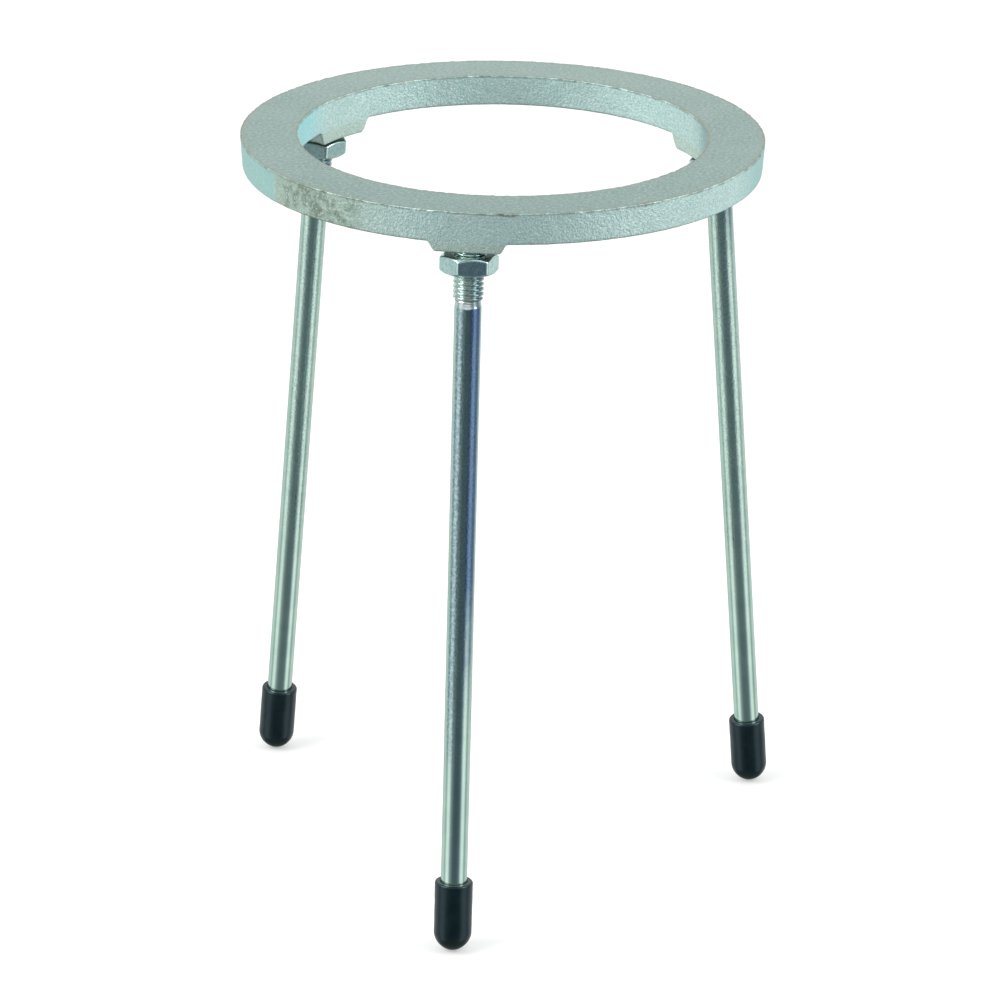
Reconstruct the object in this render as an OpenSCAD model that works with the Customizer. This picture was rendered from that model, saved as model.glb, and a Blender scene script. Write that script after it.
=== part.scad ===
// Laboratory tripod stand: a cast ring on three screwed-in steel legs with push-on foot caps.
// Millimetres, +Z up. The origin is on the ring's axis at bench level, and the front leg
// leans out along -Y. Each leg's axis crosses the middle of the ring's rim at its top face.

/* [Stand] */
// Height of the ring's top face above the bench
stand_h = 202.5; // [150:0.5:260]
// Outward lean of each leg from vertical, in degrees
leg_splay = 5.1; // [0:0.1:10]

/* [Ring] */
// Outside diameter of the cast ring
ring_od = 140; // [132:1:180]
// Diameter of the ring's opening at the top face
ring_id = 109; // [80:1:116]
// Thickness of the ring
ring_t = 8.7; // [7:0.1:15]
// Taper of the ring's walls towards the underside, in degrees
ring_draft = 3.5; // [0:0.5:5]
// Rounding of the casting's long edges
ring_edge_r = 0.8; // [0.3:0.1:1.2]

/* [Leg pads] */
// Depth of each pad below the ring's underside, on its leg's axis
pad_h = 3.1; // [2.5:0.1:6]
// Width of each pad where it leaves the ring
pad_root_w = 20; // [18:0.5:30]
// Width of each pad at its face
pad_face_w = 17; // [13:0.5:17.5]
// Radius of the hollow between pad and ring
pad_fillet_r = 1; // [0.4:0.1:1.2]
// Rounding of the pad's side edges
pad_edge_r = 1.2; // [0.4:0.1:1.2]
// Metal left between each tapped hole and the ring's top face
hole_roof = 1.2; // [0.8:0.1:2]

/* [Legs] */
// Diameter of the plain rod
rod_d = 7; // [5.5:0.1:7.5]
// Outside diameter of the thread on each leg
thread_d = 7.8; // [7.6:0.1:9.5]
// Length of the thread, from the leg's top end
thread_len = 21.8; // [18:0.1:40]
// Radial clearance round the thread in the ring and in the nut
thread_clearance = 0.05; // [0.02:0.01:0.1]
// Length of the cone between the thread and the plain rod
collar_len = 1.3; // [0.5:0.1:3]
// Chamfer at both ends of each leg
leg_chamfer = 0.6; // [0.2:0.1:1]

/* [Lock nuts] */
// Width of each nut across its flats
nut_af = 13.5; // [11:0.5:16]
// Height of each nut
nut_h = 4.7; // [3:0.1:6]
// Gap between the pad's face and the nut below it, along the leg
nut_gap = 1.2; // [0.8:0.1:4]
// Turn of the front, right and left nut about its leg, in degrees
nut_turns = [16, 8, -5]; // [-30:1:30]

/* [Foot caps] */
// Outside diameter of each cap
cap_od = 10.2; // [9:0.1:14]
// Length of each cap along its leg
cap_len = 19.5; // [14:0.5:40]
// Height of the domed end
cap_dome_h = 5.4; // [3:0.1:8]
// Thickness of cap under the end of the rod
cap_floor = 3.2; // [1.5:0.1:6]
// Rounding of the cap's open rim
cap_rim_r = 0.6; // [0.2:0.1:0.7]
// Radial clearance round the rod in its cap
cap_clearance = 0.05; // [0.02:0.01:0.1]

/* [Hidden] */

CAST_ZINC = "#9fb2ad";
BRIGHT_ZINC = "#b9c4c6";
NUT_ZINC = "#a3c4c0";
BLACK_VINYL = "#1f282b";

FRONT = 0;
RIGHT = 1;
LEFT = 2;
LEGS = 3;
leg_turn = 360 / LEGS;

arc_step = 15;          // angle between the points of a small rounded edge
dome_step = 7.5;        // angle between the points of the domed end
overlap = 0.5;          // how far one shape runs into the shape that it joins or cuts
round_fn = 96;          // facets in previews of the legs, nuts and caps
ring_fn = 192;          // facets in previews of the ring
hole_spare = 0.5;       // empty depth of each tapped hole above its leg
drill_angle = 118;      // included angle of the drill's point in each tapped hole
nut_chamfer_angle = 30; // between the nut's chamfer and its face
nut_top_share = 0.95;   // of the width across flats, left flat inside the upper chamfer
nut_end_share = 0.98;   // the same at the lower face
sink_depth = 0.6;       // countersink at both ends of the nut's thread

ring_r = ring_od / 2;
rim_w = (ring_od - ring_id) / 2;
rim_mid_r = ring_r - rim_w / 2;

// Distances along a leg's axis, counted down from the ring's top face.
thread_hole_r = thread_d / 2 + thread_clearance;
drill_point = thread_hole_r / tan(drill_angle / 2);
pad_face_at = (ring_t + pad_h) / cos(leg_splay);
pad_low = pad_h + (rim_w / 2 + pad_face_at * sin(leg_splay)) * tan(leg_splay);
hole_end_at = hole_roof + drill_point;
leg_top_at = hole_end_at + hole_spare;
thread_end_at = leg_top_at + thread_len;
collar_end_at = thread_end_at + collar_len;
nut_top_at = pad_face_at + nut_gap;
nut_end_at = nut_top_at + nut_h;

// The leaning dome is an ellipsoid, and its lowest point touches the bench.
cap_r = cap_od / 2;
dome_reach = norm([cap_r * sin(leg_splay), cap_dome_h * cos(leg_splay)]);
dome_at = (stand_h - dome_reach) / cos(leg_splay);
cap_tip_at = dome_at + cap_dome_h;
cap_rim_at = cap_tip_at - cap_len;
rod_end_at = cap_tip_at - cap_floor;

// Points of an arc from angle a0 to a1 about [x, y].
function arc(x, y, r, a0, a1, step = arc_step) =
    let (n = max(1, ceil(abs(a1 - a0) / step)))
    [for (i = [0:n]) [x, y] + r * [cos(a0 + (a1 - a0) * i / n), sin(a0 + (a1 - a0) * i / n)]];

// Moves its children into the frame of one leg: Z runs up the leg's axis.
module on_leg(which) {
    rotate([0, 0, which * leg_turn])
        translate([0, -rim_mid_r, stand_h])
            rotate([-leg_splay, 0, 0])
                children();
}

// A solid of revolution on a leg. Its outline's points are [radius, distance down the leg].
module turned(points) {
    rotate_extrude($fn = round_fn)
        polygon([for (p = points) [p[0], -p[1]]]);
}

// The rim's section, swept round. Its top is the ring's top face and h is its depth.
// The outline is the outer half, mirrored about the rim's middle: the walls close in downwards.
module rim(h) {
    r = ring_edge_r;
    top_x = rim_w / 2 - r * (1 + sin(ring_draft)) / cos(ring_draft);
    low_x = rim_w / 2 - h * tan(ring_draft) - r * (1 - sin(ring_draft)) / cos(ring_draft);
    outer = concat(arc(low_x, r, r, -90, -ring_draft), arc(top_x, h - r, r, -ring_draft, 90));
    inner = [for (i = [len(outer) - 1:-1:0]) [-outer[i][0], outer[i][1]]];
    translate([0, 0, stand_h - h])
        rotate_extrude($fn = ring_fn)
            translate([rim_mid_r, 0])
                polygon(concat(outer, inner));
}

// Outline of a pad seen along the rim's radius: drafted sides, a hollow at the root
// and a rounding at the face. Y is 0 at the ring's underside.
module pad_outline() {
    draft = atan((pad_root_w - pad_face_w) / 2 / pad_low);
    tangent = (1 - sin(draft)) / cos(draft);
    face_x = pad_face_w / 2 - pad_edge_r * tangent;
    root_x = pad_root_w / 2 + pad_fillet_r * tangent;
    right = concat(
        arc(face_x, pad_edge_r - pad_low, pad_edge_r, -90, -draft),
        arc(root_x, -pad_fillet_r, pad_fillet_r, 180 - draft, 90),
        [[root_x, overlap + ring_edge_r]]
    );
    left = [for (i = [len(right) - 1:-1:0]) [-right[i][0], right[i][1]]];
    polygon(concat(right, left));
}

// The front pad: as wide as the rim, flush with both its walls and faced square to the leg.
module pad() {
    block = 2 * rim_w;
    difference() {
        intersection() {
            rim(ring_t + pad_low);
            translate([0, rim_w - rim_mid_r, stand_h - ring_t])
                rotate([90, 0, 0])
                    linear_extrude(height = block)
                        pad_outline();
        }
        on_leg(FRONT)
            translate([-rim_w, -rim_w, -pad_face_at - block])
                cube(block);
    }
}

// Blind hole for a leg's thread, drilled from the pad's face.
module leg_hole() {
    turned([
        [0, hole_end_at - drill_point],
        [thread_hole_r, hole_end_at],
        [thread_hole_r, pad_face_at + overlap],
        [0, pad_face_at + overlap]
    ]);
}

module ring() {
    color(CAST_ZINC)
        difference() {
            union() {
                rim(ring_t);
                for (i = [0:LEGS - 1])
                    rotate([0, 0, i * leg_turn])
                        pad();
            }
            for (i = [0:LEGS - 1])
                on_leg(i)
                    leg_hole();
        }
}

// Steel rod with a thread at the top. The thread is drawn as its outside cylinder.
module leg(which) {
    thread_r = thread_d / 2;
    rod_r = rod_d / 2;
    color(BRIGHT_ZINC)
        on_leg(which)
            turned([
                [0, leg_top_at],
                [thread_r - leg_chamfer, leg_top_at],
                [thread_r, leg_top_at + leg_chamfer],
                [thread_r, thread_end_at],
                [rod_r, collar_end_at],
                [rod_r, rod_end_at - leg_chamfer],
                [rod_r - leg_chamfer, rod_end_at],
                [0, rod_end_at]
            ]);
}

// Thin hexagon nut, chamfered on both faces.
module lock_nut(which) {
    corner_r = nut_af / sqrt(3);
    top_r = nut_top_share * nut_af / 2;
    end_r = nut_end_share * nut_af / 2;
    top_drop = (corner_r - top_r) * tan(nut_chamfer_angle);
    end_drop = (corner_r - end_r) * tan(nut_chamfer_angle);
    color(NUT_ZINC)
        on_leg(which)
            rotate([0, 0, nut_turns[which]])
                intersection() {
                    translate([0, 0, -nut_end_at])
                        linear_extrude(height = nut_h)
                            circle(r = corner_r, $fn = 6);
                    turned([
                        [thread_hole_r + sink_depth, nut_top_at],
                        [top_r, nut_top_at],
                        [corner_r, nut_top_at + top_drop],
                        [corner_r, nut_end_at - end_drop],
                        [end_r, nut_end_at],
                        [thread_hole_r + sink_depth, nut_end_at],
                        [thread_hole_r, nut_end_at - sink_depth],
                        [thread_hole_r, nut_top_at + sink_depth]
                    ]);
                }
}

// Push-on cap: a tube with a rounded open rim and a domed end.
module foot_cap(which) {
    bore_r = rod_d / 2 + cap_clearance;
    r = cap_rim_r;
    dome = [for (a = [0:dome_step:90]) [cap_r * cos(a), dome_at + cap_dome_h * sin(a)]];
    color(BLACK_VINYL)
        on_leg(which)
            turned(concat(
                arc(bore_r + r, cap_rim_at + r, r, 180, 270),
                arc(cap_r - r, cap_rim_at + r, r, 270, 360),
                dome,
                [[0, rod_end_at], [bore_r, rod_end_at]]
            ));
}

ring();
leg(FRONT);  // leg_front
leg(RIGHT);  // leg_right
leg(LEFT);  // leg_left
lock_nut(FRONT);  // lock_nut_front
lock_nut(RIGHT);  // lock_nut_right
lock_nut(LEFT);  // lock_nut_left
foot_cap(FRONT);  // foot_cap_front
foot_cap(RIGHT);  // foot_cap_right
foot_cap(LEFT);  // foot_cap_left
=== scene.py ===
"""Looks of the laboratory tripod stand: detailed meshes, materials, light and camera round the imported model.

Everything is in metres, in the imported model's own frame: +Z up, the origin on the ring's axis at bench
level, the front leg leaning out along -Y.
"""
from math import cos, pi, radians, sin, tan

import bpy
import numpy as np
from mathutils import Matrix, Vector, noise


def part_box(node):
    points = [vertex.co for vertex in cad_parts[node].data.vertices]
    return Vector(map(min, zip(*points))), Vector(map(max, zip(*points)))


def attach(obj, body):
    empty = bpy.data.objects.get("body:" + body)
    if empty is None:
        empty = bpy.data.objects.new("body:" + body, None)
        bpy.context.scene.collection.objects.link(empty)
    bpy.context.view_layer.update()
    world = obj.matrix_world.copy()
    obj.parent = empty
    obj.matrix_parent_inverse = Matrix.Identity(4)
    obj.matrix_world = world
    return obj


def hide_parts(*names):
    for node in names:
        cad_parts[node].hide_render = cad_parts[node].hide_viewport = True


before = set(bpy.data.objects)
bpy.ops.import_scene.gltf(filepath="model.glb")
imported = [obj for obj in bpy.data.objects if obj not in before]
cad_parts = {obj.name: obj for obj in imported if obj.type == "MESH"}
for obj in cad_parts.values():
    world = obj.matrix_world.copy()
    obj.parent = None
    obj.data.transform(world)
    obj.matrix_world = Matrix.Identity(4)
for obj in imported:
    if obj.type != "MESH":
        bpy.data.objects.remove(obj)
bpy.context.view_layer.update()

MM = 0.001
LEGS = ("front", "right", "left")
LEG_TURN = 2 * pi / len(LEGS)
FRONT_TURN = radians(7.316)     # the camera stands this far round from the front leg

# Ring
STAND_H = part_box("ring")[1].z
RING_R = 70 * MM
RIM_W = 15.5 * MM
RIM_MID_R = RING_R - RIM_W / 2
RING_T = 8.7 * MM
RING_DRAFT = radians(3.5)
EDGE_R = 0.8 * MM
GRAIN_DEPTH = 0.085 * MM        # of the cast skin, on average
GRAIN_LIMIT = 1.3
PAD_H = 3.1 * MM
PAD_ROOT_W = 20 * MM
PAD_FACE_W = 17 * MM
PAD_ROOT_BLEND = 1.6 * MM
PAD_FACE_BLEND = 2.0 * MM
PAD_SIDE = (6.5 * MM, 12.5 * MM)
RING_STEP, PAD_SIDE_STEP = 0.68 * MM, 0.2 * MM

# Legs, as distances down the leg's axis from the ring's top face
LEG_SPLAY = radians(5.1)
LEG_AROUND = 72
LEG_CHAMFER = 0.6 * MM
ROD_R = 3.5 * MM
THREAD_R = 3.9 * MM
THREAD_ROOT_R = 3.12 * MM
THREAD_PITCH = 1.3 * MM
THREAD_LEN = 21.8 * MM
THREAD_FADE = 0.9 * THREAD_PITCH
ROOT_SHARE, FLANK_SHARE = 0.24, 0.42        # of half a turn of the thread
SECTIONS_PER_TURN = 14
HOLE_R = 3.95 * MM
HOLE_ROOF = 1.2 * MM
HOLE_SPARE = 0.5 * MM
HOLE_MOUTH = 0.5 * MM
DRILL_HALF_ANGLE = radians(59)
PAD_FACE_AT = (RING_T + PAD_H) / cos(LEG_SPLAY)
HOLE_END_AT = HOLE_ROOF + HOLE_R / tan(DRILL_HALF_ANGLE)
LEG_TOP_AT = HOLE_END_AT + HOLE_SPARE
THREAD_END_AT = LEG_TOP_AT + THREAD_LEN
NECK_R = 3.24 * MM
NECK_AT = THREAD_END_AT - 0.35 * MM
NECK_LEN = 1.4 * MM
PAD_LOW = PAD_H + (RIM_W / 2 + PAD_FACE_AT * sin(LEG_SPLAY)) * tan(LEG_SPLAY)

# Lock nuts
NUT_AF = 13.5 * MM
NUT_H = 4.7 * MM
NUT_TOP_AT = PAD_FACE_AT + 1.2 * MM
NUT_LOW_AT = NUT_TOP_AT + NUT_H
NUT_TURNS = (radians(16), radians(8), radians(-5))
NUT_SLOPE = tan(radians(30))
NUT_TOP_R, NUT_LOW_R = 0.475 * NUT_AF, 0.49 * NUT_AF        # where the chamfers start
NUT_EDGE_R = 0.24 * MM
NUT_CORNER_BLEND = 0.6 * MM
NUT_SINK = 0.6 * MM
NUT_SINK_R = HOLE_R + NUT_SINK
NUT_AROUND = 360

# Foot caps
CAP_R = 5.1 * MM
CAP_LEN = 19.5 * MM
CAP_DOME_H = 5.4 * MM
CAP_FLOOR = 3.2 * MM
CAP_BORE_R = 3.55 * MM
CAP_RIM_R = 0.6 * MM
CAP_UNEVEN = 0.05 * MM
CAP_AROUND = 96
DOME_REACH = ((CAP_R * sin(LEG_SPLAY)) ** 2 + (CAP_DOME_H * cos(LEG_SPLAY)) ** 2) ** 0.5
DOME_AT = (STAND_H - DOME_REACH) / cos(LEG_SPLAY)
CAP_TIP_AT = DOME_AT + CAP_DOME_H
CAP_TOP_AT = CAP_TIP_AT - CAP_LEN
ROD_END_AT = CAP_TIP_AT - CAP_FLOOR


# ---------------------------------------------------------------- mesh helpers

def leg_frame(which):
    """The matrix of one leg's frame: its Z axis runs up the leg from the ring's top face."""
    turn = Matrix.Rotation(which * LEG_TURN, 4, "Z")
    place = Matrix.Translation((0, -RIM_MID_R, STAND_H))
    return turn @ place @ Matrix.Rotation(-LEG_SPLAY, 4, "X")


def moved(points, matrix):
    """Points of shape (..., 3) moved by a 4x4 matrix."""
    m = np.array(matrix)
    return points @ m[:3, :3].T + m[:3, 3]


def arc(x, y, r, a0, a1, n):
    """n + 1 points of an arc about (x, y), from angle a0 to a1 in degrees."""
    a = np.radians(np.linspace(a0, a1, n + 1))
    return np.stack([x + r * np.cos(a), y + r * np.sin(a)], axis=1)


def line(p, q, n):
    """n points from p towards q, without q."""
    t = np.linspace(0, 1, n, endpoint=False)[:, None]
    return np.array(p) * (1 - t) + np.array(q) * t


def grain(points, scale, octaves=1):
    """Smooth noise between about -1 and 1 at each point; scale is the size of its grains."""
    flat = points.reshape(-1, 3) / scale
    total = np.zeros(len(flat))
    for k in range(octaves):
        step = 2.0 ** k
        total += [noise.noise(Vector(p * step)) / step for p in flat]
    return total.reshape(points.shape[:-1])


def grid_normals(grid):
    """Unit normals of a grid of points that closes on itself along its first axis."""
    along = np.roll(grid, -1, axis=0) - np.roll(grid, 1, axis=0)
    across = np.gradient(grid, axis=1)
    n = np.cross(along, across)
    length = np.linalg.norm(n, axis=2, keepdims=True)
    return n / np.maximum(length, 1e-12)


def skin(name, grid, poles):
    """An object from a grid of points, closed along its first axis.

    With poles, the first and last column each shrink to one point. Without, the columns close too.
    """
    rows, cols = grid.shape[:2]
    spans = cols
    verts = grid.reshape(-1, 3)
    if poles:
        cols -= 2
        spans = cols - 1
        verts = np.concatenate([grid[:, 1:-1].reshape(-1, 3), grid[:1, 0], grid[:1, -1]])
        first, last = len(verts) - 2, len(verts) - 1
    faces = []
    for i in range(rows):
        j = (i + 1) % rows
        for k in range(spans):
            m = (k + 1) % cols
            faces.append((i * cols + k, j * cols + k, j * cols + m, i * cols + m))
        if poles:
            faces.append((first, j * cols, i * cols))
            faces.append((last, i * cols + cols - 1, j * cols + cols - 1))
    mesh = bpy.data.meshes.new(name)
    mesh.from_pydata(verts.tolist(), [], faces)
    mesh.validate()
    mesh.update()
    piece = bpy.data.objects.new(name, mesh)
    bpy.context.scene.collection.objects.link(piece)
    if signed_volume(mesh) < 0:
        mesh.flip_normals()
    mesh.shade_smooth()
    return piece


def signed_volume(mesh):
    """Six times the volume inside a closed mesh, negative if its faces point inwards."""
    mesh.calc_loop_triangles()
    co = np.zeros(len(mesh.vertices) * 3)
    mesh.vertices.foreach_get("co", co)
    tri = np.zeros(len(mesh.loop_triangles) * 3, int)
    mesh.loop_triangles.foreach_get("vertices", tri)
    a, b, c = co.reshape(-1, 3)[tri.reshape(-1, 3)].transpose(1, 0, 2)
    return float(np.sum(a * np.cross(b, c)))


def turned(profile, matrix, around):
    """A grid of points: a profile of (radius, distance down the leg), turned about a leg's axis."""
    a = np.arange(around) * 2 * pi / around
    r, d = profile[:, 0], profile[:, 1]
    x = np.outer(np.cos(a), r)
    y = np.outer(np.sin(a), r)
    z = np.broadcast_to(-d, x.shape)
    return moved(np.stack([x, y, z], axis=2), matrix)


def finish_piece(piece, node, material):
    """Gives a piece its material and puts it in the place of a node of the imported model."""
    piece.data.materials.clear()
    piece.data.materials.append(material)
    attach(piece, "root")
    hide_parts(node)


# ---------------------------------------------------------------- the ring

def smooth_min(a, b, k):
    """The lower of two values, blended where they differ by less than k."""
    h = np.maximum(k - np.abs(a - b), 0) / k
    return np.minimum(a, b) - h * h * k / 4


def smooth_max(a, b, k):
    """The higher of two values, blended where they differ by less than k."""
    return -smooth_min(-a, -b, k)


def underside_depth(x, y):
    """Depth of the casting's underside below the top face, x across a pad and y along the rim's radius."""
    side = (PAD_ROOT_W / 2 - np.abs(x)) * PAD_LOW / ((PAD_ROOT_W - PAD_FACE_W) / 2)
    pad = smooth_max(np.zeros_like(side), side, PAD_ROOT_BLEND)
    face = (PAD_FACE_AT - (y - RIM_MID_R) * sin(LEG_SPLAY)) / cos(LEG_SPLAY) - RING_T
    return RING_T + smooth_min(pad, face, PAD_FACE_BLEND)


def ring_angles():
    """Angles of the ring's sections, closer together across the sides of the pads."""
    step, fine = RING_STEP / RIM_MID_R, PAD_SIDE_STEP / RIM_MID_R
    steps, angle = [], 0.0
    while angle < LEG_TURN:
        from_pad = min(angle, LEG_TURN - angle) * RIM_MID_R
        steps.append(angle)
        angle += fine if PAD_SIDE[0] < from_pad < PAD_SIDE[1] else step
    one = np.array(steps) * LEG_TURN / angle
    return np.concatenate([one + i * LEG_TURN for i in range(len(LEGS))])


def station(r, d, rough):
    """One line of points round the ring: radius, depth below the top face and roughness."""
    return np.stack([r, d, np.full_like(r, rough)], axis=1)


def ring_corner(side, chip):
    """The worn rounding between the top face and a wall: side is 1 outside and -1 inside."""
    e = EDGE_R * np.clip(0.34 + 0.5 * chip, 0.1, 1.1)
    centre = RIM_W / 2 - e * (1 + sin(RING_DRAFT)) / cos(RING_DRAFT)
    return [station(RIM_MID_R + side * (centre + e * cos(t)), e * (1 - sin(t)), (1 - sin(t)) ** 0.5)
            for t in np.linspace(pi / 2, -RING_DRAFT, 6)]


def ring_wall(top, low):
    """The wall between two stations, without them."""
    return [station(top[:, 0] * (1 - u) + low[:, 0] * u, top[:, 1] * (1 - u) + low[:, 1] * u, 1.0)
            for u in np.linspace(0, 1, 17)[1:-1]]


def ring_foot(side, off):
    """The rounding between a wall and the underside, at angles off from the nearest pad's middle."""
    near = RIM_MID_R + side * (RIM_W / 2 - RING_T * tan(RING_DRAFT))
    low = underside_depth(near * np.sin(off), near * np.cos(off))
    wall_r = RIM_W / 2 - low * tan(RING_DRAFT)
    e = EDGE_R
    return [station(RIM_MID_R + side * (wall_r - e + e * cos(t)), low - e + e * sin(t), 1.0)
            for t in np.linspace(0, pi / 2, 6)]


def ring_underside(outer, inner, off):
    """The underside between two stations, with its pads."""
    under = []
    for u in np.linspace(0, 1, 26)[1:-1]:
        r = outer[:, 0] * (1 - u) + inner[:, 0] * u
        under.append(station(r, underside_depth(r * np.sin(off), r * np.cos(off)), 1.0))
    return under


def ring_grid():
    """The casting's skin, with one closed section for each angle, and the roughness of each point.

    The roughness is 0 on the ground top face and about 1 on the cast surfaces.
    """
    angles = ring_angles()
    off = (angles + LEG_TURN / 2) % LEG_TURN - LEG_TURN / 2
    circle = np.stack([np.sin(angles), np.cos(angles), 0 * angles], axis=1)
    top_out = ring_corner(1, grain(circle, 0.02, 3))
    top_in = ring_corner(-1, grain(circle + 5, 0.025, 3))
    low_out, low_in = ring_foot(1, off), ring_foot(-1, off)
    face = [top_in[0] * (1 - u) + top_out[0] * u for u in np.linspace(0, 1, 9)[1:-1]]
    sections = (face + top_out + ring_wall(top_out[-1], low_out[0]) + low_out
                + ring_underside(low_out[-1], low_in[-1], off)
                + low_in[::-1] + ring_wall(low_in[0], top_in[-1]) + top_in[::-1])
    table = np.stack(sections, axis=1)
    r, d, rough = table[..., 0], table[..., 1], table[..., 2]
    x, y = np.sin(angles)[:, None], -np.cos(angles)[:, None]
    return np.stack([r * x, r * y, STAND_H - d], axis=2), rough


def make_ring(material):
    """The casting: a grained skin, cut by three blind tapped holes."""
    grid, rough = ring_grid()
    normals = grid_normals(grid)
    normals *= np.sign(np.sum(normals[:, 3, 2]))     # column 3 lies in the top face, which faces up
    cast = 0.55 * grain(grid, 7 * MM) + 0.6 * grain(grid + 1, 2.6 * MM) + 0.5 * grain(grid + 2, 1.25 * MM)
    depth = GRAIN_DEPTH * (1 - np.clip(cast, -GRAIN_LIMIT, GRAIN_LIMIT) / GRAIN_LIMIT)
    grid = grid - normals * (depth * rough)[..., None]
    ring = skin("ring_casting", grid, poles=False)
    for which in range(len(LEGS)):
        cut_hole(ring, which)
    ring.data.shade_smooth()
    finish_piece(ring, "ring", material)


def cut_hole(ring, which):
    """Cuts one blind tapped hole, with a countersunk mouth, into the casting."""
    mouth = HOLE_MOUTH
    profile = np.array([
        [0, HOLE_ROOF],
        [HOLE_R, HOLE_END_AT],
        [HOLE_R, PAD_FACE_AT - mouth],
        [HOLE_R + 2 * mouth, PAD_FACE_AT + mouth],
        [0, PAD_FACE_AT + mouth],
    ])
    cutter = skin("hole_cutter", turned(profile, leg_frame(which), 64), poles=True)
    cut = ring.modifiers.new("hole", "BOOLEAN")
    cut.operation = "DIFFERENCE"
    cut.solver = "MANIFOLD"
    cut.object = cutter
    apply_modifiers(ring)
    bpy.data.objects.remove(cutter)


def apply_modifiers(piece):
    """Replaces a piece's mesh by the mesh that its modifiers make."""
    evaluated = piece.evaluated_get(bpy.context.evaluated_depsgraph_get())
    mesh = bpy.data.meshes.new_from_object(evaluated)
    piece.modifiers.clear()
    old = piece.data
    piece.data = mesh
    bpy.data.meshes.remove(old)


# ---------------------------------------------------------------- the legs

def thread_wave(turns):
    """Rolled thread: 1 on the rounded crest and 0 in the root, against turns along the axis."""
    t = np.clip((np.abs((turns % 1) * 2 - 1) - ROOT_SHARE) / FLANK_SHARE, 0, 1)
    return 0.5 * t + 0.5 * t * t * (3 - 2 * t)


def leg_sections():
    """Distances of the rod's sections, closest together on the thread. Both ends are in it twice."""
    rows = int(THREAD_LEN / THREAD_PITCH * SECTIONS_PER_TURN)
    past_cone_at = NECK_AT + NECK_LEN + 0.5 * MM
    return np.concatenate([
        [LEG_TOP_AT, LEG_TOP_AT],
        np.linspace(LEG_TOP_AT, NECK_AT, rows)[1:],
        np.linspace(NECK_AT, past_cone_at, 24)[1:],
        np.linspace(past_cone_at, ROD_END_AT - LEG_CHAMFER, 150)[1:],
        [ROD_END_AT, ROD_END_AT],
    ])


def leg_radius(d, angle):
    """The rod's radius, by the distance down its axis and the angle round it."""
    wave = thread_wave(d / THREAD_PITCH - angle / (2 * pi))
    thread = THREAD_ROOT_R + (THREAD_R - THREAD_ROOT_R) * wave
    out = np.clip((d - NECK_AT + THREAD_FADE) / THREAD_FADE, 0, 1)
    r = thread * (1 - out) + NECK_R * out
    slope = 1.4
    r = np.minimum(r, THREAD_R - LEG_CHAMFER * slope + np.maximum(d - LEG_TOP_AT, 0) * slope)
    cone = NECK_R + (ROD_R - NECK_R) * (d - NECK_AT) / NECK_LEN
    r = np.where(d > NECK_AT, smooth_min(cone, np.full_like(cone, ROD_R), 0.05 * MM), r)
    return np.where(d > ROD_END_AT - LEG_CHAMFER, ROD_R - (d - ROD_END_AT + LEG_CHAMFER), r)


def make_leg(name, which, material):
    """A rod with a rolled helical thread, which runs out above a small cone up to the rod's own width."""
    a = np.arange(LEG_AROUND) * 2 * pi / LEG_AROUND
    d, angle = np.meshgrid(leg_sections(), a)
    r = leg_radius(d, angle)
    r[:, 0] = 0
    r[:, -1] = 0
    grid = moved(np.stack([r * np.cos(angle), r * np.sin(angle), -d], axis=2), leg_frame(which))
    leg = skin(f"leg_{name}_threaded_rod", grid, poles=True)
    finish_piece(leg, f"leg_{name}", material)


# ---------------------------------------------------------------- the lock nuts

def nut_hexagon(angles):
    """Radius of the nut's six flats by angle, with slightly rounded corners."""
    flats = [NUT_AF / 2 / np.maximum(np.cos(angles - b), 0.05) for b in np.arange(6) * pi / 3 + pi / 6]
    hexagon = flats[0]
    for flat in flats[1:]:
        hexagon = smooth_min(hexagon, flat, NUT_CORNER_BLEND)
    return hexagon


def nut_sections(hexagon):
    """The nut's closed section: countersink, top face, flat, lower face, countersink and bore."""
    soft = NUT_EDGE_R
    edge_r = hexagon - soft
    top_r, low_r = np.minimum(NUT_TOP_R, edge_r), np.minimum(NUT_LOW_R, hexagon - 1.2 * soft)
    top_at = NUT_TOP_AT + np.maximum(hexagon - NUT_TOP_R, 0) * NUT_SLOPE
    low_at = NUT_LOW_AT - np.maximum(hexagon - NUT_LOW_R, 0) * NUT_SLOPE
    pairs = [(HOLE_R, NUT_TOP_AT + NUT_SINK), (NUT_SINK_R, NUT_TOP_AT), (NUT_SINK_R + 0.05 * MM, NUT_TOP_AT)]
    for u in (0.25, 0.5, 0.75, 0.95, 1.0):
        pairs.append((NUT_SINK_R * (1 - u) + top_r * u, NUT_TOP_AT))
    for u in (0.05, 0.3, 0.6, 1.0):
        r = top_r * (1 - u) + edge_r * u
        pairs.append((r, NUT_TOP_AT + np.maximum(r - NUT_TOP_R, 0) * NUT_SLOPE))
    for t in np.radians([35, 65, 90]):
        pairs.append((hexagon - soft * (1 - sin(t)), top_at + soft * (1 - cos(t)) * 0.9))
    for u in (0.12, 0.3, 0.5, 0.7, 0.88):
        pairs.append((hexagon, (top_at + soft) * (1 - u) + (low_at - soft) * u))
    for t in np.radians([90, 65, 35]):
        pairs.append((hexagon - soft * (1 - sin(t)), low_at - soft * (1 - cos(t)) * 0.9))
    for u in (0.0, 0.5, 1.0):
        r = edge_r * (1 - u) + low_r * u
        pairs.append((r, NUT_LOW_AT - np.maximum(r - NUT_LOW_R, 0) * NUT_SLOPE))
    for u in (0.05, 0.35, 0.7, 1.0):
        pairs.append((low_r * (1 - u) + NUT_SINK_R * u, NUT_LOW_AT))
    pairs += [(HOLE_R, NUT_LOW_AT - NUT_SINK), (HOLE_R, (NUT_TOP_AT + NUT_LOW_AT) / 2)]
    ones = np.ones_like(hexagon)
    return np.stack([r * ones for r, d in pairs], axis=1), np.stack([d * ones for r, d in pairs], axis=1)


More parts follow.
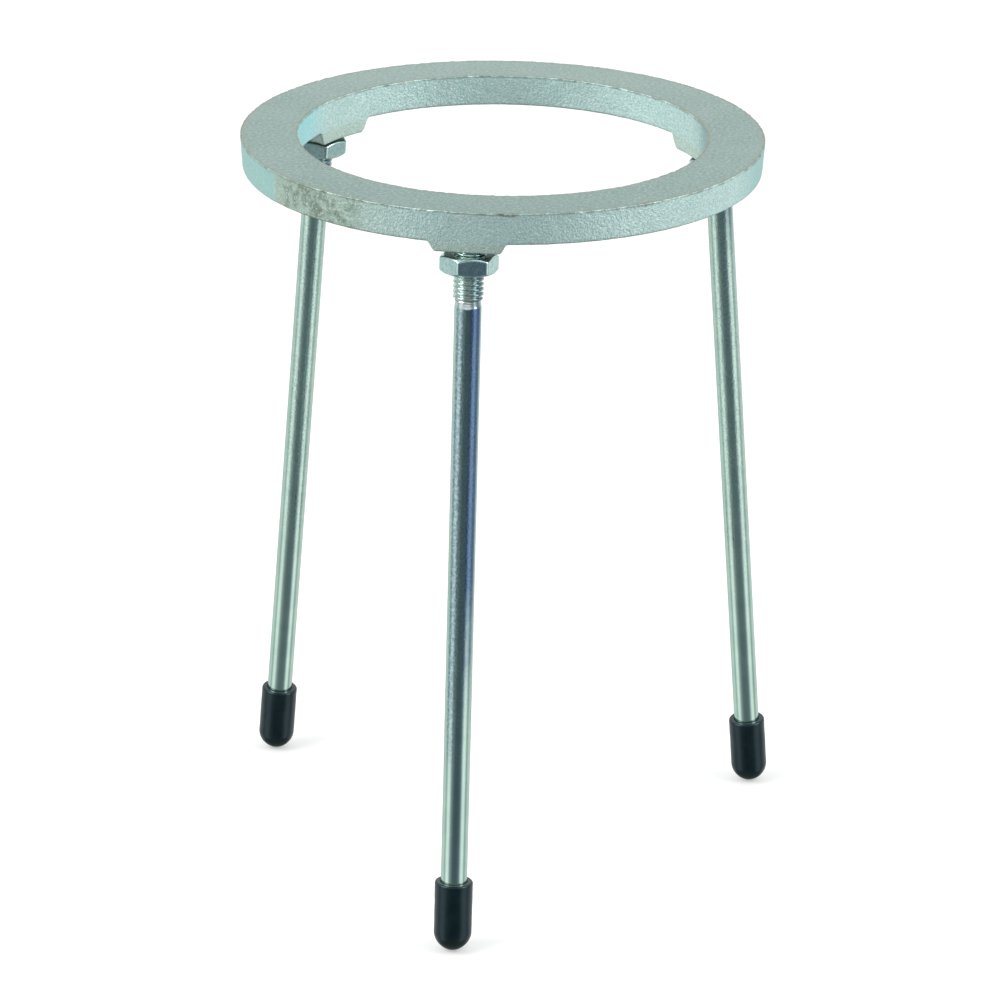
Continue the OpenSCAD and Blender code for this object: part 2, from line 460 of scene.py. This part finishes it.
def make_nut(name, which, material):
    """A thin hexagon nut: both faces chamfered by a cone, its edges slightly rounded."""
    angles = np.arange(NUT_AROUND) * 2 * pi / NUT_AROUND
    r, d = nut_sections(nut_hexagon(angles))
    turn = angles[:, None] + NUT_TURNS[which]
    grid = moved(np.stack([r * np.cos(turn), r * np.sin(turn), -d], axis=2), leg_frame(which))
    nut = skin(f"lock_nut_{name}_hex", grid, poles=False)
    finish_piece(nut, f"lock_nut_{name}", material)


# ---------------------------------------------------------------- the foot caps

def cap_profile():
    """The cap's inside up to its rim and its outside down to its tip, as (radius, distance down the leg)."""
    rim, inner_rim = CAP_RIM_R, 0.5 * CAP_RIM_R
    a = np.linspace(0, pi / 2, 22)
    dome = np.stack([CAP_R * np.cos(a) ** 1.08, DOME_AT + CAP_DOME_H * np.sin(a)], axis=1)
    inside = np.concatenate([
        [[0, ROD_END_AT]],
        line((0.5 * MM, ROD_END_AT), (CAP_BORE_R, ROD_END_AT), 5),
        line((CAP_BORE_R, ROD_END_AT), (CAP_BORE_R, CAP_TOP_AT + inner_rim), 8),
        arc(CAP_BORE_R + inner_rim, CAP_TOP_AT + inner_rim, inner_rim, 180, 270, 5),
    ])
    outside = np.concatenate([
        arc(CAP_R - rim, CAP_TOP_AT + rim, rim, 270, 360, 9),
        line((CAP_R, CAP_TOP_AT + 2 * rim), (CAP_R, DOME_AT - 0.2 * MM), 36),
        dome,
    ])
    return inside, outside


def make_cap(name, which, material):
    """A dipped vinyl cap: soft open rim, slightly uneven wall and a domed end."""
    inside, outside = cap_profile()
    profile = np.concatenate([inside, outside])
    grid = turned(profile, leg_frame(which), CAP_AROUND)
    axis = turned(profile * np.array([0, 1]), leg_frame(which), CAP_AROUND)
    seed = Vector((which * 3.1, 0, 0))
    uneven = grain(grid + np.array(seed), 5 * MM, 2)
    out = grid - axis
    length = np.linalg.norm(out, axis=2, keepdims=True)
    out = out / np.maximum(length, 1e-9)
    is_outside = np.arange(len(profile)) >= len(inside)
    share = np.clip(2 * length / CAP_R, 0, 1) * is_outside[:, None]
    grid = grid - out * share * (CAP_UNEVEN * (1 - uneven))[..., None]
    cap = skin(f"foot_cap_{name}_dipped", grid, poles=True)
    finish_piece(cap, f"foot_cap_{name}", material)


# ---------------------------------------------------------------- materials

class Nodes:
    """Short names for building a node tree."""

    def __init__(self, tree):
        self.tree = tree
        tree.nodes.clear()

    def new(self, kind):
        return self.tree.nodes.new("ShaderNode" + kind)

    def link(self, source, socket):
        """Feeds a socket with a number, a colour or another node's output."""
        if isinstance(source, (int, float)):
            socket.default_value = source
        elif isinstance(source, tuple):
            socket.default_value = (*source, 1.0)
        else:
            self.tree.links.new(source, socket)

    def math(self, operation, a, b=0.0):
        node = self.new("Math")
        node.operation = operation
        self.link(a, node.inputs[0])
        self.link(b, node.inputs[1])
        return node.outputs[0]

    def times(self, first, *others):
        for other in others:
            first = self.math("MULTIPLY", first, other)
        return first

    def plus(self, a, b):
        return self.math("ADD", a, b)

    def minus(self, a, b):
        return self.math("SUBTRACT", a, b)

    def ramp(self, value, low, high, to_low=0.0, to_high=1.0, smooth=True):
        """Goes from to_low to to_high as the value goes from low to high."""
        node = self.new("MapRange")
        node.interpolation_type = "SMOOTHSTEP" if smooth else "LINEAR"
        self.link(value, node.inputs["Value"])
        node.inputs["From Min"].default_value = low
        node.inputs["From Max"].default_value = high
        node.inputs["To Min"].default_value = to_low
        node.inputs["To Max"].default_value = to_high
        return node.outputs[0]

    def stops(self, value, table):
        """A colour by direction, from a table of (degrees, colour): the value is 0 at -180 and 1 at 180."""
        node = self.new("ValToRGB")
        self.link(value, node.inputs[0])
        elements = node.color_ramp.elements
        for degrees, colour in table[1:-1]:
            elements.new(degrees / 360 + 0.5).color = (*colour, 1.0)
        elements[0].color = (*table[0][1], 1.0)
        elements[len(elements) - 1].color = (*table[-1][1], 1.0)
        return node.outputs[0]

    def mix(self, amount, a, b):
        node = self.new("Mix")
        node.data_type = "RGBA"
        self.link(amount, node.inputs[0])
        self.link(a, node.inputs[6])
        self.link(b, node.inputs[7])
        return node.outputs[2]

    def split(self, vector):
        node = self.new("SeparateXYZ")
        self.link(vector, node.inputs[0])
        return node.outputs


class Shade(Nodes):
    """A material's node tree, with one principled shader."""

    def __init__(self, name):
        self.material = bpy.data.materials.new(name)
        self.material.use_nodes = True
        super().__init__(self.material.node_tree)
        self.shader = self.new("BsdfPrincipled")
        self.link(self.shader.outputs[0], self.new("OutputMaterial").inputs["Surface"])
        self.coord = self.new("TexCoord").outputs["Object"]

    def noise(self, grain_size, detail=2.0, rough=0.5, stretch=(1, 1, 1)):
        coord = self.coord
        if stretch != (1, 1, 1):
            place = self.new("Mapping")
            place.inputs["Scale"].default_value = stretch
            self.link(coord, place.inputs["Vector"])
            coord = place.outputs[0]
        node = self.new("TexNoise")
        self.link(coord, node.inputs["Vector"])
        node.inputs["Scale"].default_value = 1 / grain_size
        node.inputs["Detail"].default_value = detail
        node.inputs["Roughness"].default_value = rough
        return node.outputs["Fac"]

    def normal(self):
        return self.new("NewGeometry").outputs["Normal"]

    def bump(self, height, distance, strength=1.0, under=None):
        node = self.new("Bump")
        node.inputs["Strength"].default_value = strength
        node.inputs["Distance"].default_value = distance
        self.link(height, node.inputs["Height"])
        if under is not None:
            self.link(under, node.inputs["Normal"])
        return node.outputs[0]

    def finish(self, colour, metallic, roughness, normal):
        self.link(colour, self.shader.inputs["Base Color"])
        self.shader.inputs["Metallic"].default_value = metallic
        self.link(roughness, self.shader.inputs["Roughness"])
        self.link(normal, self.shader.inputs["Normal"])
        return self.material


# Colours of the casting
TOP_GREY, TOP_PALE = (0.265, 0.375, 0.345), (0.300, 0.405, 0.375)
# Painted reflection: the ground top face is made darker towards the front and paler towards the back
TOP_FRONT_REFLECTION, TOP_BACK_REFLECTION = (0.225, 0.330, 0.312), (0.365, 0.465, 0.425)
TOP_PIT, TOP_GLINT = (0.165, 0.235, 0.212), (0.44, 0.60, 0.57)
TOP_EDGE = (0.34, 0.37, 0.29)
WALL_DARK, WALL_LIGHT = (0.54, 0.77, 0.73), (0.75, 0.97, 0.93)
WALL_GREEN, WALL_LOW = (0.56, 0.74, 0.69), (0.56, 0.66, 0.52)
WALL_PIT, WALL_GLINT = (0.22, 0.33, 0.30), (0.92, 1.0, 0.99)
# Painted reflection: walls at the sides, seen at a grazing angle, are made cyan
CYAN_OUTER_REFLECTION, CYAN_INNER_REFLECTION = (0.37, 0.65, 0.62), (0.40, 0.84, 0.88)
# Painted reflection: a darker stretch of inner wall at the right side
DIM_INNER_REFLECTION = (0.22, 0.36, 0.35)
OLIVE = (0.41, 0.53, 0.41)
GRIME_DARK, GRIME_LIGHT = (0.115, 0.165, 0.115), (0.30, 0.39, 0.29)
LIP_WORN = (0.18, 0.225, 0.19)
RUST = (0.20, 0.165, 0.11)
# Painted shade: surfaces that face down are made nearly black
UNDERSIDE_SHADE = (0.045, 0.052, 0.038)

# Stretches of the casting's walls in degrees round from the front leg, positive to the right; cyan is painted
# reflection
CYAN_FROM, CYAN_TO_OLIVE = -125, -50.6
CYAN_RIGHT = (74, 118)
CYAN_INSIDE = (-106, -60)
# Where the inner wall's painted reflection is darker
DIM_INSIDE = (62, 112)
OLIVE_FULL, OLIVE_GONE = -34, -10
GRIME = (-47, -25)
RUSTY_NICKS = ((8.7, 7 * MM), (39.5, 5 * MM))       # place and length of each


class Casting(Shade):
    """Zinc plated sand casting: a satin ground top face, and sparkling walls with coloured stretches, some of
    painted reflection.
    """

    def __init__(self):
        super().__init__("cast_zinc_plate")
        x, self.y, self.z = self.split(self.coord)
        self.radius = self.math("SQRT", self.plus(self.times(x, x), self.times(self.y, self.y)))
        self.azimuth = self.math("ARCTAN2", x, self.times(self.y, -1.0))
        self.from_mid = self.math("ABSOLUTE", self.minus(self.radius, RIM_MID_R))
        self.up = self.split(self.normal())[2]
        height = self.ramp(self.z, STAND_H - 0.55 * MM, STAND_H - 0.12 * MM)
        self.top = self.times(self.ramp(self.up, 0.75, 0.97), height)
        self.outer = self.ramp(self.radius, RIM_MID_R - 0.1 * MM, RIM_MID_R + 0.1 * MM)
        self.inner = self.minus(1.0, self.outer)

        self.fine = self.noise(0.45 * MM, 2, 0.6)
        self.medium = self.noise(0.65 * MM, 2, 0.6)
        self.sand = self.noise(0.9 * MM, 2, 0.65)
        self.blotch = self.noise(2.6 * MM, 4, 0.7)
        self.broad = self.noise(16 * MM, 3, 0.5)

        # Painted reflection: cyan stretches of wall at the sides, which are made smoother as well
        left = self.between(CYAN_FROM, CYAN_TO_OLIVE, 0.5)
        self.cyan_outer_reflection = self.times(self.math("MAXIMUM", left, self.between(*CYAN_RIGHT, 9)), self.outer)
        self.cyan_inner_reflection = self.times(self.between(*CYAN_INSIDE, 8), self.inner)
        # Painted reflection: a darker, smoother stretch of inner wall at the right side
        self.dim_inner_reflection = self.times(self.between(*DIM_INSIDE, 8), self.inner)
        smooth_inner = self.math("MAXIMUM", self.cyan_inner_reflection, self.dim_inner_reflection)
        self.coarse = self.minus(1.0, self.times(self.math("MAXIMUM", self.cyan_outer_reflection, smooth_inner), 0.6))

    def between(self, low, high, soft):
        """1 between two places round the ring and 0 beyond them, each with a soft border."""
        inside = self.ramp(self.azimuth, radians(low - soft), radians(low + soft))
        return self.times(inside, self.ramp(self.azimuth, radians(high + soft), radians(high - soft)))

    def top_colour(self):
        colour = self.mix(self.ramp(self.broad, 0.35, 0.65), TOP_GREY, TOP_PALE)
        # Painted reflection: darker towards the front of the top face and paler towards the back
        colour = self.mix(self.ramp(self.y, -20 * MM, -75 * MM, 0.0, 0.55), colour, TOP_FRONT_REFLECTION)
        colour = self.mix(self.ramp(self.y, 0, 75 * MM, 0.0, 0.5), colour, TOP_BACK_REFLECTION)
        colour = self.mix(self.ramp(self.sand, 0.50, 0.66, 0.0, 0.5), colour, TOP_GLINT)
        colour = self.mix(self.ramp(self.sand, 0.48, 0.34, 0.0, 0.5), colour, TOP_PIT)
        wander = self.times(self.minus(self.blotch, 0.5), 1.2 * MM)
        edge = self.ramp(self.plus(self.from_mid, wander), RIM_W / 2 - 1.5 * MM, RIM_W / 2 - 0.7 * MM)
        return self.mix(self.times(edge, 0.5), colour, TOP_EDGE)

    def wall_colour(self):
        colour = self.mix(self.ramp(self.medium, 0.34, 0.66), WALL_DARK, WALL_LIGHT)
        colour = self.mix(self.ramp(self.broad, 0.42, 0.66, 0.0, 0.4), colour, WALL_GREEN)
        # Painted reflection: cyan on the walls at the sides
        colour = self.mix(self.times(self.cyan_outer_reflection, 0.8), colour, CYAN_OUTER_REFLECTION)
        colour = self.mix(self.times(self.cyan_inner_reflection, 0.8), colour, CYAN_INNER_REFLECTION)
        olive = self.ramp(self.azimuth, radians(OLIVE_GONE), radians(OLIVE_FULL))
        olive = self.times(self.between(CYAN_TO_OLIVE, 0, 0.5), olive, self.outer)
        colour = self.mix(self.times(olive, 0.65), colour, OLIVE)
        grime = self.times(self.between(*GRIME, 3), self.outer, self.ramp(self.blotch, 0.40, 0.60, 0.0, 0.75))
        grime_colour = self.mix(self.ramp(self.medium, 0.4, 0.6), GRIME_DARK, GRIME_LIGHT)
        colour = self.mix(grime, colour, grime_colour)
        # Painted reflection: darker on the inner wall at the right side
        colour = self.mix(self.times(self.dim_inner_reflection, 0.8), colour, DIM_INNER_REFLECTION)
        low = self.ramp(self.z, STAND_H - 7.4 * MM, STAND_H - 9.5 * MM)
        colour = self.mix(self.times(low, 0.4), colour, WALL_LOW)
        glints = self.times(self.ramp(self.medium, 0.57, 0.68, 0.0, 0.6), self.coarse)
        colour = self.mix(glints, colour, WALL_GLINT)
        pits = self.ramp(self.noise(0.7 * MM, 2, 0.6), 0.40, 0.30)
        return self.mix(self.times(pits, 0.35), colour, WALL_PIT)

    def lip(self):
        """The worn rounding between the top face and the walls."""
        place = self.times(self.ramp(self.from_mid, RIM_W / 2 - 0.9 * MM, RIM_W / 2 - 0.4 * MM),
                           self.ramp(self.z, STAND_H - 0.8 * MM, STAND_H - 0.4 * MM))
        return self.times(place, self.ramp(self.blotch, 0.36, 0.64, 0.1, 0.6))

    def nick(self, at, length):
        """A rusty nick on the outer top edge, at a place in degrees."""
        away = self.times(self.math("ABSOLUTE", self.minus(self.azimuth, radians(at))), RING_R)
        away = self.plus(away, self.times(self.minus(self.blotch, 0.5), 6 * MM))
        along = self.ramp(away, length / 2, length / 5)
        high = self.ramp(self.z, STAND_H - 1.0 * MM, STAND_H - 0.7 * MM)
        out = self.ramp(self.radius, RING_R - 1.1 * MM, RING_R - 0.6 * MM)
        return self.times(along, high, out, self.ramp(self.medium, 0.4, 0.6, 0.2, 0.7))

    def build(self):
        colour = self.mix(self.top, self.wall_colour(), self.top_colour())
        colour = self.mix(self.lip(), colour, LIP_WORN)
        for at, length in RUSTY_NICKS:
            colour = self.mix(self.nick(at, length), colour, RUST)
        # Painted shade: surfaces that face down are made nearly black
        colour = self.mix(self.ramp(self.up, -0.5, -0.9, 0.0, 0.9), colour, UNDERSIDE_SHADE)
        wall = self.minus(1.0, self.top)
        rough = self.plus(self.times(self.top, self.ramp(self.fine, 0.3, 0.7, 0.38, 0.50)),
                          self.times(wall, self.ramp(self.medium, 0.3, 0.7, 0.48, 0.34)))
        sand_grain = self.plus(self.times(self.fine, 0.5), self.times(self.medium, 1.5))
        normal = self.bump(self.times(sand_grain, self.times(wall, self.coarse)), 0.2 * MM, 0.75)
        normal = self.bump(self.fine, 0.03 * MM, 0.6, normal)
        return self.finish(colour, 0.5, rough, normal)


# Colours of the bright plated bar
ROD_GREEN, ROD_PALE = (0.60, 0.81, 0.71), (0.67, 0.88, 0.76)
SPECK_DARK, SPECK_LIGHT = (0.38, 0.54, 0.54), (0.84, 0.98, 0.94)
DRAWN_STREAK = (0.46, 0.62, 0.62)
THREAD_PALE = (0.70, 0.81, 0.78)
# Painted reflection: the top of each rod's right side is made darker
CROWN_REFLECTION = (0.20, 0.30, 0.34)
# Painted reflection: a darker, bluish band down the front leg's left side, speckled by the grain
LEFT_REFLECTION_DARK, LEFT_REFLECTION_LIGHT = (0.25, 0.37, 0.43), (0.48, 0.66, 0.70)
# Painted reflection: a dark blue band down the front leg's right side
BLUE_REFLECTION = (0.115, 0.20, 0.37)


def bright_zinc():
    """Bright zinc plated bar: speckled, with painted reflections: a blue band and a darker left side on the
    front leg.
    """
    s = Shade("bright_zinc_plate")
    y, z = s.split(s.coord)[1:]
    nx, ny = s.split(s.normal())[:2]
    speckle = s.noise(0.4 * MM, 2, 0.6)
    peel = s.noise(0.7 * MM, 2, 0.5)
    sparkle = s.noise(0.85 * MM, 2, 0.65)
    cloud = s.noise(6 * MM, 3, 0.5)
    streak = s.noise(0.35 * MM, 2, 0.5, stretch=(1, 1, 0.03))

    # The thread is smoother than the rod, and so is the rod near its foot
    thread = s.ramp(z, 175.6 * MM, 176.6 * MM)
    uneven_z = s.plus(z, s.times(s.minus(cloud, 0.5), 30 * MM))
    worn = s.times(s.ramp(uneven_z, 40 * MM, 110 * MM, 0.1, 1.0), s.ramp(thread, 0, 1, 1.0, 0.2))
    colour = s.mix(s.ramp(cloud, 0.35, 0.65), ROD_GREEN, ROD_PALE)
    colour = s.mix(s.times(s.ramp(speckle, 0.52, 0.66, 0.0, 0.55), worn), colour, SPECK_DARK)
    colour = s.mix(s.times(s.ramp(speckle, 0.44, 0.32, 0.0, 0.5), worn), colour, SPECK_LIGHT)
    colour = s.mix(s.times(s.ramp(streak, 0.52, 0.70, 0.0, 0.3), worn), colour, DRAWN_STREAK)
    colour = s.mix(s.times(thread, 0.8), colour, THREAD_PALE)

    # Painted reflections, by the way the surface faces: across is -1 on a rod's left side and 1 on its right
    across = s.plus(s.times(nx, cos(FRONT_TURN)), s.times(ny, sin(FRONT_TURN)))
    right = s.times(s.ramp(across, 0.08, 0.38), s.ramp(across, 0.95, 0.86))
    left = s.times(s.ramp(across, -0.15, -0.35), s.ramp(across, -0.93, -0.75))
    front = s.times(s.ramp(y, -56 * MM, -60 * MM), s.minus(1.0, thread))
    # Painted reflection: a dark blue band down the front leg's right side
    blue_reflection = s.times(right, front, s.ramp(uneven_z, 62 * MM, 108 * MM))
    # Painted reflection: a darker, bluish band low on the front leg's left side
    left_reflection = s.times(left, front, s.ramp(uneven_z, 40 * MM, 74 * MM, 0.0, 0.85))
    veil = s.ramp(speckle, 0.3, 0.7, 1.0, 0.8)
    # Painted reflection: darker at the top of each rod's right side
    colour = s.mix(s.times(right, s.ramp(z, 158 * MM, 182 * MM, 0.0, 0.85)), colour, CROWN_REFLECTION)
    # Painted reflection on the front leg's left side: darker, bluish and speckled
    left_reflection_colour = s.mix(s.ramp(sparkle, 0.40, 0.64), LEFT_REFLECTION_DARK, LEFT_REFLECTION_LIGHT)
    colour = s.mix(s.times(left_reflection, veil), colour, left_reflection_colour)
    # Painted reflection: the dark blue band on the front leg's right side
    colour = s.mix(s.times(blue_reflection, veil), colour, BLUE_REFLECTION)

    rough = s.plus(0.045, s.times(s.ramp(speckle, 0.3, 0.7, 0.04, 0.14), worn))
    normal = s.bump(s.times(s.plus(speckle, streak), worn), 0.02 * MM, 0.6)
    normal = s.bump(s.times(peel, worn), 0.07 * MM, 0.8, normal)
    return s.finish(colour, 1.0, rough, normal)


def nut_zinc():
    """Zinc plate on a pressed nut, with a green cast."""
    green, pale, stain = (0.66, 0.92, 0.86), (0.74, 0.97, 0.92), (0.40, 0.58, 0.60)
    s = Shade("nut_zinc_plate")
    speckle = s.noise(0.3 * MM, 2, 0.6)
    peel = s.noise(0.9 * MM, 3, 0.65)
    cloud = s.noise(3 * MM, 3, 0.5)
    colour = s.mix(s.ramp(cloud, 0.35, 0.65), green, pale)
    colour = s.mix(s.ramp(peel, 0.42, 0.62, 0.0, 0.4), colour, stain)
    rough = s.ramp(speckle, 0.3, 0.7, 0.17, 0.26)
    normal = s.bump(s.plus(speckle, s.times(cloud, 2.0)), 0.02 * MM, 0.35)
    normal = s.bump(peel, 0.05 * MM, 0.3, normal)
    return s.finish(colour, 1.0, rough, normal)


def black_vinyl():
    """Dipped vinyl: black with a soft gloss, fine pimples and a little dust."""
    black, faded, dust = (0.0045, 0.0115, 0.0145), (0.008, 0.018, 0.021), (0.03, 0.045, 0.045)
    s = Shade("black_dipped_vinyl")
    s.shader.inputs["Specular IOR Level"].default_value = 0.5
    s.shader.inputs["Specular Tint"].default_value = (0.62, 0.92, 1.0, 1.0)
    pimple = s.noise(0.25 * MM, 2, 0.6)
    cloud = s.noise(4 * MM, 3, 0.5)
    colour = s.mix(s.ramp(cloud, 0.35, 0.7), black, faded)
    colour = s.mix(s.ramp(pimple, 0.68, 0.78, 0.0, 0.2), colour, dust)
    rough = s.ramp(s.plus(cloud, s.times(pimple, 0.4)), 0.4, 1.0, 0.13, 0.22)
    normal = s.bump(s.plus(cloud, s.times(pimple, 0.15)), 0.1 * MM, 0.3)
    return s.finish(colour, 0.0, rough, normal)


# ---------------------------------------------------------------- stage

FLOOR_HALF = 6.0
FLOOR_GREY, FLOOR_PALE = (0.68, 0.69, 0.69), (0.70, 0.71, 0.71)
FLOOR_GLOW, FLOOR_GLOW_STRENGTH = (1.0, 0.995, 0.995), 0.355

# Colour of the room by direction: degrees from straight ahead of the stand, positive to the right
ROOM = (
    (-180, (0.52, 0.55, 0.56)),
    (-125, (0.74, 0.79, 0.78)),
    (-106, (0.70, 0.75, 0.75)),
    (-91, (0.42, 0.46, 0.50)),
    (-74, (1.05, 1.05, 1.06)),
    (-57, (1.0, 1.0, 1.02)),
    (-42, (0.34, 0.38, 0.42)),
    (-28, (0.17, 0.21, 0.24)),
    (-16, (0.085, 0.11, 0.13)),
    (8, (0.065, 0.09, 0.12)),
    (28, (0.09, 0.12, 0.17)),
    (40, (0.22, 0.27, 0.33)),
    (58, (1.05, 1.06, 1.08)),
    (74, (1.05, 1.05, 1.06)),
    (92, (0.36, 0.40, 0.43)),
    (110, (0.66, 0.70, 0.71)),
    (130, (0.80, 0.83, 0.84)),
    (180, (0.52, 0.55, 0.56)),
)
SKY, SKY_AHEAD = (1.0, 1.0, 1.0), (0.16, 0.19, 0.20)
SKIRTING, GROUND = (0.62, 0.68, 0.62), (0.27, 0.28, 0.25)
BACKDROP = (1.03, 1.04, 1.04)
WORLD_STRENGTH = 0.9
LIGHT_TARGET = Vector((0, 0, 0.15))

# Camera: its place as seen from the middle of the ring's top face, its aim and its lens
CAMERA_DISTANCE = 1.2188
CAMERA_RISE = radians(16.896)
CAMERA_PITCH, CAMERA_YAW, CAMERA_ROLL = radians(21.497), radians(0.036), radians(0.869)
CAMERA_LENS, SENSOR_W = 164.12, 36


def make_floor():
    """A plain pale floor, wide enough for every view. The plating mirrors the room and not the floor."""
    size = FLOOR_HALF
    mesh = bpy.data.meshes.new("floor")
    corners = [(-size, -size, 0), (size, -size, 0), (size, size, 0), (-size, size, 0)]
    mesh.from_pydata(corners, [], [(0, 1, 2, 3)])
    floor = bpy.data.objects.new("floor", mesh)
    bpy.context.scene.collection.objects.link(floor)
    s = Shade("pale_floor")
    s.shader.inputs["Emission Color"].default_value = (*FLOOR_GLOW, 1.0)
    s.shader.inputs["Emission Strength"].default_value = FLOOR_GLOW_STRENGTH
    tone = s.mix(s.noise(60 * MM, 2, 0.5), FLOOR_GREY, FLOOR_PALE)
    floor.data.materials.append(s.finish(tone, 0.0, 0.7, s.bump(s.noise(2 * MM), 0.05 * MM, 0.2)))
    floor.visible_glossy = False
    floor.visible_diffuse = False


def make_world():
    """A room as the plating mirrors it: dark ahead, where the camera stands, with bright sides and sky."""
    world = bpy.data.worlds.new("studio")
    bpy.context.scene.world = world
    world.use_nodes = True
    s = Nodes(world.node_tree)
    turn = s.new("VectorRotate")
    turn.rotation_type = "Z_AXIS"
    turn.inputs["Angle"].default_value = -FRONT_TURN
    s.link(s.new("TexCoord").outputs["Generated"], turn.inputs["Vector"])
    x, y, z = s.split(turn.outputs[0])

    def rising(low, high, to_low=0.0, to_high=1.0):
        """A ramp between two heights in degrees above the horizon."""
        return s.ramp(z, sin(radians(low)), sin(radians(high)), to_low, to_high)

    azimuth = s.math("ARCTAN2", x, s.times(y, -1.0))
    room = s.stops(s.ramp(azimuth, -pi, pi, smooth=False), ROOM)
    room = s.mix(rising(-12, -24, 0.0, 0.14), room, SKIRTING)
    room = s.mix(rising(-35, -55), room, GROUND)
    ahead = s.ramp(s.math("ABSOLUTE", azimuth), radians(48), radians(24))
    sky = s.mix(s.times(ahead, rising(30, 42)), SKY, SKY_AHEAD)
    colour = s.mix(rising(4, 16), room, sky)
    colour = s.mix(s.new("LightPath").outputs["Is Camera Ray"], colour, BACKDROP)
    back = s.new("Background")
    s.link(colour, back.inputs["Color"])
    back.inputs["Strength"].default_value = WORLD_STRENGTH
    s.link(back.outputs[0], s.new("OutputWorld").inputs[0])


def make_light(name, place, size, power):
    """A soft rectangular light, aimed at the upper part of the stand."""
    light = bpy.data.lights.new(name, "AREA")
    light.shape = "RECTANGLE"
    light.size, light.size_y = size
    light.energy = power
    lamp = bpy.data.objects.new(name, light)
    lamp.location = place
    lamp.rotation_euler = (LIGHT_TARGET - Vector(place)).to_track_quat("-Z", "Y").to_euler()
    bpy.context.scene.collection.objects.link(lamp)


def make_camera():
    """A long lens from 1.2 m in front of the stand, looking down at it."""
    camera = bpy.data.objects.new("camera", bpy.data.cameras.new("camera"))
    bpy.context.scene.collection.objects.link(camera)
    camera.data.sensor_width = SENSOR_W
    camera.data.lens = CAMERA_LENS
    camera.data.clip_start, camera.data.clip_end = 0.05, 50
    level = cos(CAMERA_PITCH)
    ahead = Vector((sin(CAMERA_YAW) * level, cos(CAMERA_YAW) * level, -sin(CAMERA_PITCH)))
    back, up = CAMERA_DISTANCE * cos(CAMERA_RISE), CAMERA_DISTANCE * sin(CAMERA_RISE)
    turn = Matrix.Rotation(FRONT_TURN, 4, "Z")
    place = turn @ Vector((0, -back, STAND_H + up))
    aim = (turn @ ahead).to_track_quat("-Z", "Y").to_matrix().to_4x4()
    camera.matrix_world = Matrix.Translation(place) @ aim @ Matrix.Rotation(CAMERA_ROLL, 4, "Z")
    bpy.context.scene.camera = camera


# ---------------------------------------------------------------- the scene

make_camera()
make_floor()
make_world()
make_light("key_left", (-0.9, -0.5, 0.9), (0.8, 0.8), 9)
make_light("fill_right", (1.0, -0.2, 0.7), (0.6, 0.9), 6)
make_ring(Casting().build())
rod, nut, vinyl = bright_zinc(), nut_zinc(), black_vinyl()
for number, leg in enumerate(LEGS):
    make_leg(leg, number, rod)
    make_nut(leg, number, nut)
    make_cap(leg, number, vinyl)
bpy.context.scene.view_settings.view_transform = "Standard"
